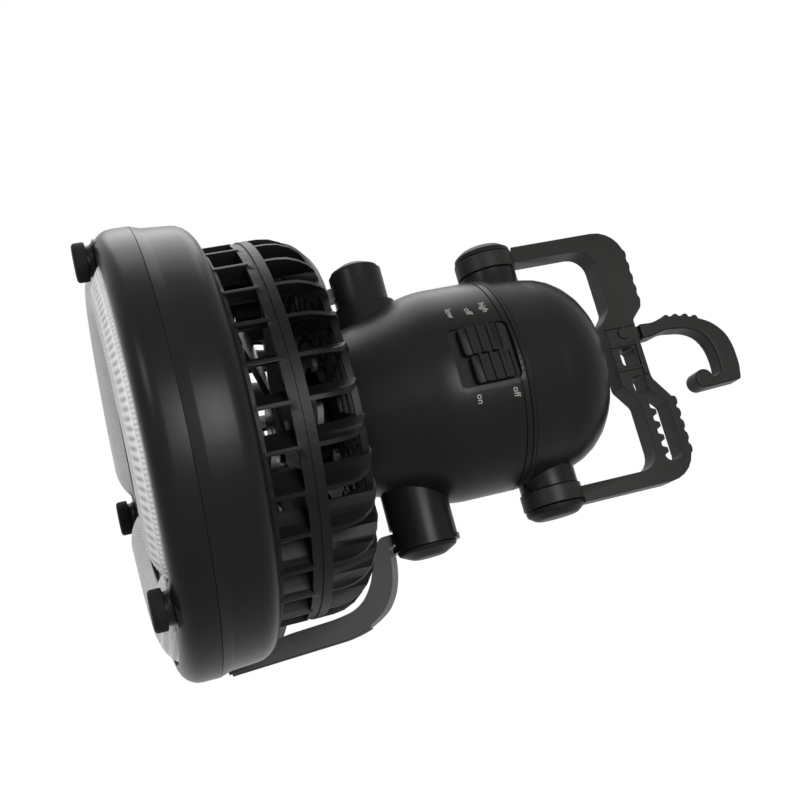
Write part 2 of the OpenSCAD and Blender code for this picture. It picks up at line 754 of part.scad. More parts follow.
module battery_tray() {
    wall = 1.1;
    tray_len = 40;
    bulkhead_z = cell_z - bulkhead_t - 0.6;
    // The bulkhead seats where the housing narrows towards its neck
    seat_r = neck_r - body_wall + (body_r - neck_r) * (bulkhead_z - neck_z) / (shoulder_share * body_len);
    color([0.15, 0.15, 0.15]) {
        translate([0, 0, bulkhead_z]) cylinder(r = seat_r - 0.05, h = bulkhead_t);
        translate([0, 0, cell_z - 0.8]) linear_extrude(tray_len) intersection() {
            circle(seat_r - 0.4);
            difference() {
                for (s = [-1, 1]) translate([s * cell_x, 0]) circle(cell_r + 0.3 + wall);
                for (s = [-1, 1]) translate([s * cell_x, 0]) circle(cell_r + 0.3);
            }
        }
    }
}

module cell(side) {
    color([0.55, 0.42, 0.15]) translate([side * cell_x, 0, cell_z]) {
        cylinder(r = 4.8, h = button_h + 1);
        translate([0, 0, button_h]) cylinder(r = cell_r, h = cell_len);
    }
}

module front_contact() {
    disc_t = 0.6;
    color("gold") for (s = [-1, 1]) translate([s * cell_x, 0, cell_z - disc_t])
        cylinder(r = 0.35 * cell_r, h = disc_t);
}

module switch_board() {
    w = pocket_w + 6;
    len = pocket_len + 2;
    switch_w = 7.6;
    switch_h = 3.2;
    switch_len = 18;
    slot_h = 2.4;
    color([0.1, 0.35, 0.2]) rotate(switch_angle) {
        translate([-w / 2, board_y, pocket_z - len / 2]) cube([w, board_t, len]);
        for (sx = [-1, 1]) difference() {
            translate([sx * slider_x - switch_w / 2, board_y - switch_h, pocket_z - switch_len / 2])
                cube([switch_w, switch_h + 0.2, switch_len]);
            translate([sx * slider_x - stem_w / 2 - gap, board_y - switch_h - eps,
                pocket_z - stem_len / 2 - slide_step - gap])
                cube([stem_w + 2 * gap, slot_h + eps, stem_len + 2 * (slide_step + gap)]);
        }
    }
}

// A ribbed thumb piece with the stem that reaches its switch
module slider(x, z) {
    groove_count = 4;
    groove_w = 2.6;
    groove_h = 0.9;
    back_y = pocket_floor_y - 0.3;
    stem_reach = board_y - pocket_floor_y - 1.4;
    rotate(switch_angle) translate([x, 0, z]) {
        difference() {
            translate([0, back_y, 0]) in_xz_out(thumb_h) polygon(rounded([
                for (c = [[-1, -1], [1, -1], [1, 1], [-1, 1]])
                [c.x * thumb_w / 2, c.y * thumb_len / 2, thumb_round]], 4));
            for (i = [0:groove_count - 1]) translate([-thumb_w / 2 - eps, back_y - thumb_h - eps,
                (i - (groove_count - 1) / 2) * thumb_len / groove_count - groove_w / 2])
                cube([thumb_w + 2 * eps, groove_h + eps, groove_w]);
        }
        translate([-stem_w / 2, back_y - 1, -stem_len / 2]) cube([stem_w, stem_reach + 1, stem_len]);
    }
}

module fan_slider() {
    color([0.04, 0.04, 0.04]) slider(-slider_x, pocket_z);
}

module light_slider() {
    color([0.04, 0.04, 0.04]) slider(slider_x, light_rest_z);
}

/* Rear cover, handle hinge and contact */

// The cover from its rim to its rounded end, moved inwards by d, its rim lowered by low
module cover_solid(d, low) {
    rotate_extrude() polygon(rounded([
        [0, cover_z - low, 0], [body_r - d, cover_z - low, 0], [dome_r - d, handle_z + 4, 20],
        [dome_r - 1.6 - d, cover_end_z - d, dome_round - d], [0, cover_end_z - d, 0]], 8));
}

contact_z = cell_z + button_h + cell_len + 2;
contact_t = 0.8;

module rear_cover() {
    post_r = 5;
    post_z = contact_z + contact_t;
    color([0.07, 0.07, 0.075]) difference() {
        union() {
            difference() {
                union() {
                    cover_solid(0, 0);
                    both_sides() rod_x(stem_r, dome_r - 10, stem_end, handle_z);
                }
                cover_solid(body_wall, eps);
            }
            translate([0, 0, post_z]) cylinder(r = post_r, h = cover_end_z - post_z - 1);
        }
        both_sides() rod_x(handle_pin_r + fit, dome_r + 0.2, stem_end + eps, handle_z);
        ring(body_r - 0.5, body_r + 1, cover_z + 1.2, 0.5);
    }
}

module cover_contact() {
    strip_w = 0.6 * cell_r;
    spring_h = 1.6;
    color("silver") {
        translate([-cell_x - strip_w / 2, -strip_w / 2, contact_z])
            cube([2 * cell_x + strip_w, strip_w, contact_t]);
        for (s = [-1, 1]) translate([s * cell_x, 0, contact_z - spring_h])
            cylinder(r = 0.4 * strip_w, h = spring_h + 0.2);
    }
}

eye_in = stem_end + gap;
eye_out = handle_half_w - 2;
eye_r = 12;

module handle_caps() {
    dome_h = 4.4;
    color([0.05, 0.05, 0.055]) both_sides() {
        rod_x(handle_pin_r, dome_r + 1, eye_out + gap + 1, handle_z);
        translate([eye_out + gap, 0, handle_z]) rotate([0, 90, 0]) rotate_extrude() polygon(rounded([
            [0, 0, 0], [eye_r - 0.4, 0, 0], [eye_r - 0.8, 2, 1], [eye_r - 4, dome_h, 4], [0, dome_h, 0]], 4));
    }
}

/* Stand */

flange_t = 2.2;

module stand() {
    ring_in = head_r - ring_inset;
    reach = head_r + 0.3;
    leg_in = reach - leg_w;
    ring_z = -leg_len;
    color([0.07, 0.07, 0.075]) translate([0, 0, stand_z]) rotate([fold_angle, 0, 0]) {
        difference() {
            union() {
                both_sides() {
                    rod_x(tongue_r, tongue_in, tongue_out, 0);
                    in_xz(leg_d) mirror([0, 1]) polygon(rounded([
                        [tongue_in, 0, 0], [tongue_in, 16, 2], [leg_in - 11, 18.6, 9], [leg_in, 33, 14],
                        [leg_in, leg_len - 27, 3], [ring_in, leg_len - 20, 6], [ring_in, leg_len, 0],
                        [reach, leg_len, 0], [reach, 40, 16], [reach - 4.6, 26, 16], [reach - 14, 16, 12],
                        [tongue_out, 13.4, 0], [tongue_out, 0, 0]]));
                    // Thin flange along the outside of the leg
                    in_xz(flange_t) mirror([0, 1]) polygon(rounded([
                        [reach - 2, 38, 0], [reach - 2, leg_len, 0], [reach + 0.9, leg_len, 0],
                        [reach + 0.9, 40, 16], [reach - 3.6, 25.6, 0]]));
                }
                translate([0, 0, ring_z]) linear_extrude(ring_len) intersection() {
                    difference() {
                        circle(reach);
                        circle(ring_in);
                    }
                    translate([-reach - 1, 0]) square([2 * reach + 2, reach + 1]);
                }
            }
            both_sides() rod_x(stand_pin_r + fit, tongue_in - eps, tongue_out + eps, 0);
        }
    }
}

/* Handle and hook */

outer_z = handle_z + handle_reach;
slot_out_z = outer_z - outer_rail_t;
slot_in_z = slot_out_z - slot_w;
rail_in_z = slot_in_z - inner_rail_t;
grip_out_z = outer_z - 2;
grip_in_z = grip_out_z - grip_t;
block_out_z = grip_out_z - 5.3;
hook_z = block_out_z - 6;
hook_play = 2.6;
block_in_z = handle_z + dome_r + 1;
tang_t = 4.8;
tang_r = 4.6;
tang_w = 5.2;
// Height above the pin where the hook reaches its full thickness
arm_start = 8.2;

module handle() {
    w = handle_half_w;
    wi = w - arm_t;
    r_in = handle_corner_r - arm_t + 2;
    bumps_in = 22;
    bumps_out = 42;
    window_x = tang_r + 1.4 - hook_offset;
    window_len = 7.4;
    window_in_z = block_in_z + 3.2;
    window_out_z = block_out_z - 3.8;
    color([0.07, 0.07, 0.075]) difference() {
        union() {
            in_xz(handle_d) difference() {
                union() {
                    polygon(rounded([
                        [w, handle_z, 0], [w, outer_z, handle_corner_r], [21, outer_z - 0.6, 6],
                        [11, block_out_z, 5], [-14, block_out_z, 2], [-19, grip_out_z, 3],
                        [-w, grip_out_z, handle_corner_r], [-w, handle_z, 0], [-wi, handle_z, 0],
                        [-wi, grip_in_z, r_in], [-20, grip_in_z, 4], [-15, block_in_z, 3],
                        [12, block_in_z, 3], [20, rail_in_z, 4], [wi, rail_in_z, r_in], [wi, handle_z, 0]]));
                    grip_bumps(-bumps_out, -bumps_in, grip_out_z);
                    grip_bumps(bumps_in, bumps_out, outer_z);
                }
                toothed_slot();
                // Window between the hook and the toothed slot
                polygon(rounded([for (c = [[0, 0], [1, 0], [1, 1], [0, 1]])
                    [window_x + c.x * window_len, c.y ? window_out_z : window_in_z, 1.6]]));
            }
            both_sides() rod_x(eye_r, eye_in, eye_out, handle_z);
        }
        both_sides() {
            rod_x(handle_pin_r + fit, eye_in - eps, w + eps, handle_z);
            // Seat for the cap outside the eye
            rod_x(eye_r, eye_out, w + eps, handle_z);
        }
        hook_slot();
    }
}

// Low ridges along the grip's outer edge
module grip_bumps(x0, x1, z) {
    count = 5;
    for (i = [0:count - 1]) translate([x0 + i * (x1 - x0) / (count - 1), z - 1]) circle(r = 2, $fn = 24);
}

// The toothed slot and the narrow neck that leads from it into the block
module toothed_slot() {
    x0 = 20;
    x1 = handle_half_w - arm_t - 1.5;
    neck_x = 9;
    neck_in_z = block_in_z + 4.6;
    neck_out_z = block_out_z - 2.8;
    pitch = (x1 - x0 - 4) / tooth_count;
    difference() {
        polygon(rounded([
            [neck_x, neck_in_z, 2], [x0 - 5, neck_in_z + 0.4, 3], [x0, slot_in_z, 3], [x1, slot_in_z, 3],
            [x1, slot_out_z, 3], [x0 + 2, slot_out_z, 4], [x0 - 5, neck_out_z, 3], [neck_x, neck_out_z, 2]]));
        for (i = [0:tooth_count - 1]) translate([x0 + 2 + (i + 0.5) * pitch, slot_in_z])
            polygon([[-2, -eps], [-0.8, 2], [1, 2], [2.2, -eps]]);
    }
}

// Room for the hook's tang to swing between the block's two cheeks
module hook_slot() {
    open = tang_r + hook_play;
    in_xz(tang_t + 2 * gap) translate([-hook_offset, hook_z]) {
        circle(tang_r + gap);
        polygon([[-tang_r - gap, 0], [tang_r + gap, 0], [open, 12], [-open, 12]]);
    }
    translate([-hook_offset, 0, hook_z]) rotate([90, 0, 0])
        cylinder(r = hook_pin_r, h = handle_d + 2, center = true);
}

module hook_pin() {
    color("silver") translate([-hook_offset, 0, hook_z]) rotate([90, 0, 0])
        cylinder(r = hook_pin_r, h = handle_d - 0.4, center = true);
}

module hook() {
    w = hook_w;
    bend_z = hook_z + hook_reach;
    arm_z = hook_z + 16;
    side_x = -hook_offset + w / 2;
    bend_x = side_x + hook_bend_r;
    out_r = hook_bend_r + w;
    tip_x = bend_x + hook_bend_r - 0.6;
    tip_z = bend_z + 0.5;
    notch_r = 1.4;
    notch_pitch = 4.6;
    color([0.07, 0.07, 0.075]) difference() {
        union() {
            // Tang between the cheeks
            in_xz(tang_t) {
                translate([-hook_offset, hook_z]) circle(tang_r);
                translate([-hook_offset - tang_w / 2, hook_z]) square([tang_w, arm_start + 1.2]);
            }
            in_xz(hook_d) {
                // Arm, cranked beyond the block
                polygon(rounded([[side_x - w, bend_z, 0], [side_x, bend_z, 0], [side_x, arm_z + 3, 4],
                    [side_x + 2.6, arm_z - 4, 3], [side_x + 2.6, hook_z + arm_start, 0],
                    [side_x - w + 1.4, hook_z + arm_start, 0],
                    [side_x - w + 1.4, arm_z - 2, 2], [side_x - w - 0.6, arm_z + 2, 2]]));
                hook_bend(bend_x, bend_z, out_r, hook_bend_r);
                polygon(rounded([[bend_x - 1, bend_z + out_r, 0], [tip_x + 3.4, bend_z + out_r - 1.6, 1],
                    [tip_x + hook_tip_r, tip_z, 0], [tip_x - 2, tip_z, 0],
                    [tip_x - 2.6, bend_z + hook_bend_r - 1, 3], [bend_x - 1, bend_z + hook_bend_r, 0]]));
                translate([tip_x, tip_z]) circle(hook_tip_r);
                for (i = [0:3]) translate([side_x - w, arm_z + 2 + i * notch_pitch])
                    circle(r = notch_r, $fn = 24);
            }
        }
        translate([-hook_offset, 0, hook_z]) rotate([90, 0, 0])
            cylinder(r = hook_pin_r + fit, h = hook_d + 2, center = true);
    }
}

// A quarter ring that turns the hook over its top
module hook_bend(x, z, r_out, r_in) {
    translate([x, z]) intersection() {
        difference() {
            circle(r_out);
            circle(r_in);
        }
        translate([-r_out - 1, 0]) square([r_out + 1, r_out + 1]);
    }
}

bezel();
head_shell();
lens_segment(0);  // lens_1
lens_segment(1);  // lens_2
lens_segment(2);  // lens_3
reflector();
led_board();
leds();
feet();
front_grille();
air_duct();
head_screws();
cage_front();
cage_rear();
fan_blades();
motor_shaft();
motor();
motor_mount();
neck_screws();
front_housing();
stand_caps();
battery_tray();
cell(-1);  // cell_1
cell(1);  // cell_2
front_contact();
switch_board();
fan_slider();
light_slider();
rear_cover();
cover_contact();
handle_caps();
stand();
handle();
hook_pin();
hook();
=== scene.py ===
import json
import math

import bmesh
import bpy
from bpy.props import FloatProperty, FloatVectorProperty, PointerProperty
from mathutils import Matrix, Vector

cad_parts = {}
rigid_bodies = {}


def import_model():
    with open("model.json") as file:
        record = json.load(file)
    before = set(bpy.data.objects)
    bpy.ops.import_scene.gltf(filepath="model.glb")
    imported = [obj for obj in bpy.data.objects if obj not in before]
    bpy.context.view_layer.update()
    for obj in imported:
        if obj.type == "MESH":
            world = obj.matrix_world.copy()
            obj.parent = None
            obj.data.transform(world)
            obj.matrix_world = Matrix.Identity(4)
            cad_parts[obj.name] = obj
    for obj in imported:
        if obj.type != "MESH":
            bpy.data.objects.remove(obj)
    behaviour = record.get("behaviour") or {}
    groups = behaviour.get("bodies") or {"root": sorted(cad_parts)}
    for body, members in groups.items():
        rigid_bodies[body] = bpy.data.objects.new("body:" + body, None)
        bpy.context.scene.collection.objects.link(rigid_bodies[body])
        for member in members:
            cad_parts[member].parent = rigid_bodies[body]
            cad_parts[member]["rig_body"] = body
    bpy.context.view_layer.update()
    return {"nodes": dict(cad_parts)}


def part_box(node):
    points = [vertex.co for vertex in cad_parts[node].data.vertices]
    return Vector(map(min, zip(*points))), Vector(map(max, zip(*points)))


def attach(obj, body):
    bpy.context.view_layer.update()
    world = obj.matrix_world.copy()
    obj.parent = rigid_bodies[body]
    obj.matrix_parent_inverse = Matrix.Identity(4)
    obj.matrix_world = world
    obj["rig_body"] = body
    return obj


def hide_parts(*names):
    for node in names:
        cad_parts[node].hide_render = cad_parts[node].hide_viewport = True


bl_info = {
    "name": "Camping Fan Dresser",
    "version": (1, 0, 0),
    "blender": (4, 5, 0),
    "location": "View3D > Sidebar > Camping Fan",
    "description": "Finishes the pieces of a camping fan with a ring light, and sets its studio",
    "category": "Object",
}

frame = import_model()
MM = 0.001
UP = Vector((0, 0, 1))
FACING_Y = Matrix.Rotation(math.radians(90), 4, "X")

# Places in the CAD frame, in metres
HEAD_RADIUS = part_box("bezel")[1].x
SHELL_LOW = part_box("head_shell")[0].z
SWITCH_MIDDLE = (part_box("fan_slider")[0].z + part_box("fan_slider")[1].z) / 2
STAND_HINGE = (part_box("stand_caps")[0].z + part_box("stand_caps")[1].z) / 2

# Faces that meet at more than the first angle keep a sharp edge, which gets rounded, and those
# that meet at less than the second are made one, in degrees
SHARP_ANGLE = 35.0
FLAT_ANGLE = 0.6

# Radius on the edges of the pieces that don't have the usual one
THIN_EDGE = 0.3 * MM
LOUVRE_EDGE = 0.35 * MM
CAP_EDGE = 0.4 * MM
HANDLE_EDGE = 0.6 * MM
HOOK_EDGE = 0.8 * MM
STAND_EDGE = 1.1 * MM


# ---------------------------------------------------------------- sizes and colours

class CampingFanSizes(bpy.types.PropertyGroup):
    """Sizes of the finish that a user may change."""

    edge_round: FloatProperty(
        name="Edge Rounding", description="Radius on the edges of moulded pieces",
        default=0.5 * MM, min=0.1 * MM, max=1.5 * MM, unit="LENGTH")
    grain_depth: FloatProperty(
        name="Grain Depth", description="Depth of the fine grain on moulded plastic",
        default=0.03 * MM, min=0.0, max=0.2 * MM, unit="LENGTH")
    bead_pitch: FloatProperty(
        name="Bead Pitch",
        description="Width of one bead at the lens's outer edge, and of one of its fine dots",
        default=1.8 * MM, min=0.8 * MM, max=3.0 * MM, unit="LENGTH")
    prism_pitch: FloatProperty(
        name="Prism Pitch", description="Width of one prism in the lens's outer band",
        default=3.4 * MM, min=1.5 * MM, max=6.0 * MM, unit="LENGTH")
    prism_depth: FloatProperty(
        name="Prism Depth", description="Height of the prisms above the lens",
        default=0.5 * MM, min=0.2 * MM, max=1.5 * MM, unit="LENGTH")
    letter_height: FloatProperty(
        name="Letter Height", description="Height of the small letters beside the switches",
        default=3.0 * MM, min=1.5 * MM, max=5.0 * MM, unit="LENGTH")
    body_radius: FloatProperty(
        name="Body Radius", description="Radius of the housing where the switch words are printed",
        default=41.5 * MM, min=35 * MM, max=50 * MM, unit="LENGTH")


class CampingFanColours(bpy.types.PropertyGroup):
    """Colours that a user may change."""

    black: FloatVectorProperty(
        name="Moulded Black", description="Colour of the head, cage, body and handle",
        subtype="COLOR", size=3, default=(0.0065, 0.0065, 0.006), min=0.0, max=1.0)
    # Painted light: the stand is paler than the body's black to stand in for the light its leg
    # catches
    stand: FloatVectorProperty(
        name="Stand Black", description="Colour of the stand, a little paler than the body",
        subtype="COLOR", size=3, default=(0.065, 0.065, 0.067), min=0.0, max=1.0)
    fan: FloatVectorProperty(
        name="Fan Grey", description="Colour of the fan blades",
        subtype="COLOR", size=3, default=(0.014, 0.014, 0.014), min=0.0, max=1.0)
    lens: FloatVectorProperty(
        name="Lens", description="Colour of the clear ring lens",
        subtype="COLOR", size=3, default=(0.86, 0.87, 0.87), min=0.0, max=1.0)
    lettering: FloatVectorProperty(
        name="Lettering", description="Colour of the printed switch words",
        subtype="COLOR", size=3, default=(0.2, 0.195, 0.18), min=0.0, max=1.0)


def sizes():
    return bpy.context.scene.camping_fan_sizes


def colours():
    return bpy.context.scene.camping_fan_colours


# ---------------------------------------------------------------- materials

# The places of some outputs on their nodes
OBJECT_COORDINATES = 3
ATTRIBUTE_FACTOR = 2
BACK_FACING = 6
CAMERA_RAY, GLOSSY_RAY, TRANSMISSION_RAY = 0, 3, 6

# How strongly each kind of surface shines and bends light
PLASTIC_SPECULAR = 0.09
RUBBER_SPECULAR = 0.08
ACRYLIC_IOR = 1.49

# The lens's attribute that holds how high its pattern stands, from 0 to 1, which also sets the
# lens's painted highlight and painted shade
RELIEF = "relief"


class Value:
    """An output socket on which Python arithmetic adds Math nodes."""

    def __init__(self, nodes, socket):
        self.nodes = nodes
        self.socket = socket

    def math(self, operation, *others):
        return self.nodes.add("ShaderNodeMath", {"operation": operation}, self, *others)[0]

    def __add__(self, other):
        return self.math("ADD", other)

    def __sub__(self, other):
        return self.math("SUBTRACT", other)

    def __rsub__(self, other):
        return self.nodes.add("ShaderNodeMath", {"operation": "SUBTRACT"}, other, self)[0]

    def __mul__(self, other):
        return self.math("MULTIPLY", other)

    def __truediv__(self, other):
        return self.math("DIVIDE", other)

    __radd__ = __add__
    __rmul__ = __mul__


class Nodes:
    """Adds nodes to the tree of a material or of the world."""

    def __init__(self, tree):
        self.tree = tree

    def add(self, kind, settings, *values, **named):
        """Adds a node, sets it up, gives its inputs values or links, and returns its outputs."""
        node = self.tree.nodes.new(kind)
        for key, value in settings.items():
            setattr(node, key, value)
        for socket, value in zip([socket for socket in node.inputs if socket.enabled], values):
            self.feed(socket, value)
        for key, value in named.items():
            self.feed(node.inputs[key.replace("_", " ")], value)
        return [Value(self, socket) for socket in node.outputs if socket.enabled]

    def feed(self, socket, value):
        """Gives a socket a link, a colour or a number."""
        if isinstance(value, Value):
            self.tree.links.new(value.socket, socket)
        elif socket.type == "RGBA":
            socket.default_value = (*value[:3], 1.0)
        else:
            socket.default_value = value


class Maker(Nodes):
    """Builds one material on its Principled shader."""

    def __init__(self, name):
        self.material = bpy.data.materials.new(name)
        self.material.use_nodes = True
        super().__init__(self.material.node_tree)
        self.surface = self.tree.nodes["Principled BSDF"]
        self.output = self.tree.nodes["Material Output"]

    def set(self, **inputs):
        """Gives inputs of the shader values or links."""
        for name, value in inputs.items():
            self.feed(self.surface.inputs[name.replace("_", " ")], value)

    def place(self):
        """Object coordinates, in metres."""
        return self.add("ShaderNodeTexCoord", {})[OBJECT_COORDINATES]

    def axes(self):
        """The X, Y and Z of the object coordinates."""
        return self.add("ShaderNodeSeparateXYZ", {}, self.place())

    def noise(self, scale, detail=3.0):
        """Noise over the object coordinates, from 0 to 1."""
        return self.add("ShaderNodeTexNoise", {},
                        Vector=self.place(), Scale=scale, Detail=detail)[0]

    def bump(self, height, distance, strength):
        """A bumped normal from a height."""
        return self.add("ShaderNodeBump", {},
                        Strength=strength, Distance=distance, Height=height)[0]

    def mix(self, factor, first, second):
        """Mixes two colours by a factor."""
        return self.add("ShaderNodeMix", {"data_type": "RGBA"}, factor, first, second)[0]


def moulded(name, colour, roughness, grain=9000.0, mottle=0.25):
    """Satin moulded plastic: fine grain, slow flow marks and a slightly uneven gloss."""
    maker = Maker(name)
    flow = maker.noise(35.0, 4.0)
    fine = maker.noise(grain, 2.0)
    lighter = [min(1.0, channel * (1 + mottle)) for channel in colour]
    darker = [channel * (1 - mottle) for channel in colour]
    maker.set(Base_Color=maker.mix(flow, darker, lighter),
              Roughness=flow * 0.12 + (roughness - 0.06),
              Normal=maker.bump(fine, sizes().grain_depth, 0.35),
              Specular_IOR_Level=PLASTIC_SPECULAR)
    return maker.material


def rubber(name, colour):
    """Dull rubber with a little dust on it."""
    maker = Maker(name)
    dust = maker.noise(400.0)
    pale = [channel + 0.006 for channel in colour]
    maker.set(Base_Color=maker.mix(dust, colour, pale),
              Roughness=dust * 0.15 + 0.65,
              Normal=maker.bump(maker.noise(6000.0), 0.04 * MM, 0.5),
              Specular_IOR_Level=RUBBER_SPECULAR)
    return maker.material


def metal(name, colour, roughness):
    """Bare metal with fine streaks in its gloss."""
    maker = Maker(name)
    streak = maker.noise(1500.0, 2.0)
    maker.set(Base_Color=colour, Metallic=1.0,
              Roughness=streak * 0.15 + roughness,
              Normal=maker.bump(streak, 0.02 * MM, 0.4))
    return maker.material


def ring_lens(name):
    """Clear patterned plastic over white, with painted light: painted highlight on its prisms and
    painted shade between them.
    """
    maker = Maker(name)
    cloud = maker.noise(220.0, 2.0)
    fleck = maker.noise(1400.0, 1.0)
    # The pattern's height also sets the colour: high places get painted highlight for the light a
    # real lens bends through them, low places get painted shade
    relief = maker.add("ShaderNodeAttribute", {"attribute_name": RELIEF})[ATTRIBUTE_FACTOR]
    shade = colours().lens
    darker = [channel * 0.3 for channel in shade]
    pale = maker.add("ShaderNodeClamp", {}, relief + cloud * 0.3)[0]
    maker.set(Base_Color=maker.mix(pale, darker, shade),
              Roughness=cloud * 0.12 + 0.12,
              Normal=maker.bump(fleck, 0.1 * MM, 0.3),
              IOR=ACRYLIC_IOR)
    return maker.material


def plain(name, colour, roughness, coat=0.0):
    """A plain surface of one colour, slightly cloudy, with a clear coat if one is given."""
    maker = Maker(name)
    cloud = maker.noise(120.0)
    darker = [channel * 0.85 for channel in colour]
    maker.set(Base_Color=maker.mix(cloud, darker, colour),
              Roughness=cloud * 0.1 + roughness,
              Normal=maker.bump(maker.noise(3000.0), 0.02 * MM, 0.3),
              Coat_Weight=coat)
    return maker.material


# ---------------------------------------------------------------- pieces

def add_piece(name, mesh, body, material):
    """Links a finished mesh as a piece that rides on a body."""
    piece = bpy.data.objects.new(name, mesh)
    bpy.context.scene.collection.objects.link(piece)
    mesh.materials.clear()
    mesh.materials.append(material)
    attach(piece, body)
    return piece


def body_of_node(node):
    return frame["nodes"][node]["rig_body"]


def smooth_faces(work, mesh, sharp=SHARP_ANGLE):
    """Writes a bmesh to a mesh, with smooth faces and with its sharp edges kept."""
    for face in work.faces:
        face.smooth = True
    work.to_mesh(mesh)
    work.free()
    mesh.set_sharp_from_angle(angle=math.radians(sharp))


def round_edges(piece, width, steps):
    """Rounds a piece's sharp edges."""
    bevel = piece.modifiers.new("Edge Rounding", "BEVEL")
    bevel.width = width
    bevel.segments = steps
    bevel.limit_method = "ANGLE"
    bevel.angle_limit = math.radians(SHARP_ANGLE)
    bevel.profile = 0.5
    bevel.material = -1


def dress(node, material, edge=None, reshape=None):
    """Gives a CAD node rounded edges and smooth faces: a merged copy of it stands for the node."""
    mesh = frame["nodes"][node].data.copy()
    work = bmesh.new()
    work.from_mesh(mesh)
    bmesh.ops.remove_doubles(work, verts=work.verts, dist=0.001 * MM)
    bmesh.ops.dissolve_limit(work, angle_limit=math.radians(FLAT_ANGLE),
                             verts=work.verts, edges=work.edges)
    if reshape:
        for vert in work.verts:
            reshape(vert.co)
    smooth_faces(work, mesh)
    piece = add_piece("made_" + node, mesh, body_of_node(node), material)
    round_edges(piece, sizes().edge_round if edge is None else edge, 2)
    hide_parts(node)


def finish_node(node, material):
    """Keeps a CAD node's own mesh and gives it a material."""
    mesh = frame["nodes"][node].data
    mesh.materials.clear()
    mesh.materials.append(material)


# How far the rear shell's lip is drawn in
LIP_INSET = 1.15 * MM


def soften_lip(place):
    """Draws the rear shell's lip in, so that one smooth slope joins its seam and its side."""
    radius = math.hypot(place.x, place.y)
    if radius > HEAD_RADIUS - 0.1 * MM and place.z > SHELL_LOW + 1 * MM:
        factor = (HEAD_RADIUS - LIP_INSET) / radius
        place.x *= factor
        place.y *= factor


class OBJECT_OT_fan_head(bpy.types.Operator):
    """Finish the round head: bezel, rear shell, feet, grille and duct"""

    bl_idname = "object.fan_head"
    bl_label = "Head"

    def execute(self, context):
        black = moulded("head_black", colours().black, 0.31)
        dress("bezel", black)
        dress("head_shell", black, reshape=soften_lip)
        dress("front_grille", moulded("grille_black", colours().black, 0.42), THIN_EDGE)
        dress("air_duct", bpy.data.materials["grille_black"], THIN_EDGE)
        dress("feet", rubber("foot_rubber", (0.004, 0.004, 0.004)), CAP_EDGE)
        finish_node("head_screws", metal("screw_steel", (0.12, 0.12, 0.12), 0.4))
        return {"FINISHED"}


# The lens's form, as its solid has it, with angles in degrees
LENS_INSET = 21.3 * MM
LENS_HALF = 13.25 * MM
LENS_CROWN = 5.9 * MM
LENS_WALL = 1.6 * MM
LENS_FLANGE = 1.4 * MM
LENS_END_ANGLE = 16.0
FIRST_FOOT_ANGLE = 84.0
SEGMENTS = 3
LENS_MIDDLE = HEAD_RADIUS - LENS_INSET
LENS_CURVE = (LENS_HALF ** 2 + LENS_CROWN ** 2) / (2 * LENS_CROWN)

# How much of the lens's outer edge the bezel hides
HIDDEN_EDGE = 1.5 * MM

# Faces of the lens that meet at more than this angle, in degrees, keep a sharp edge
LENS_SHARP_ANGLE = 50.0

# How finely one segment is divided: along each side, round each end, and over and under it
SIDE_STEPS = 330
END_STEPS = 100
FACE_STEPS = 36
BACK_STEPS = 8

# Heights in the lens's pattern, from 0 to 1: between the beads, on the prisms' ridges, how deep
# the grooves between those are cut, and the dots' middle and how far they go from it
BEAD_FOOT = 0.25
PRISM_TOP = 0.85
PRISM_CUT = 0.8
DOT_LEVEL = 0.6
DOT_HEIGHT = 0.3

# The prisms' length in pitches, how far they lean in pitches, and how sharp their ridges are
PRISM_LENGTH = 1.5
PRISM_LEAN = 0.35
PRISM_SHARPNESS = 1.5


def prism_relief(place):
    """Height of the pattern at a point: beads at the rim, a row of prisms, then fine dots."""
    bead, prism = sizes().bead_pitch, sizes().prism_pitch
    edge = LENS_MIDDLE + LENS_HALF
    inwards = max(0.0, edge - HIDDEN_EDGE - math.hypot(place.x, place.y))
    around = math.atan2(place.y, place.x) * edge
    if inwards < bead:
        swell = abs(math.sin(math.pi * around / bead)) * math.sin(math.pi * inwards / bead)
        return BEAD_FOOT + (1 - BEAD_FOOT) * swell
    depth = (inwards - bead) / (PRISM_LENGTH * prism)
    if depth < 1.0:
        ridge = abs(math.cos(math.pi * (around / prism + PRISM_LEAN * depth)))
        return PRISM_TOP - PRISM_CUT * math.sin(math.pi * depth) * (1 - ridge ** PRISM_SHARPNESS)
    dots = math.sin(2 * math.pi * around / bead) * math.sin(2 * math.pi * inwards / bead)
    return DOT_LEVEL + DOT_HEIGHT * dots


def lens_outline(index):
    """The way round one light segment.

    Each step has the angle of its place on the middle line, and the angle that it faces.
    """
    start = math.radians(FIRST_FOOT_ANGLE + LENS_END_ANGLE + (index - 1) * 360 / SEGMENTS)
    sweep = math.radians(360 / SEGMENTS - 2 * LENS_END_ANGLE)
    outer = [(start + sweep * i / SIDE_STEPS, 0.0) for i in range(SIDE_STEPS)]
    far_end = [(start + sweep, math.pi * i / END_STEPS) for i in range(END_STEPS)]
    inner = [(start + sweep * (1 - i / SIDE_STEPS), math.pi) for i in range(SIDE_STEPS)]
    near_end = [(start, math.pi * (1 + i / END_STEPS)) for i in range(END_STEPS)]
    return [(place, place + turn) for place, turn in outer + far_end + inner + near_end]


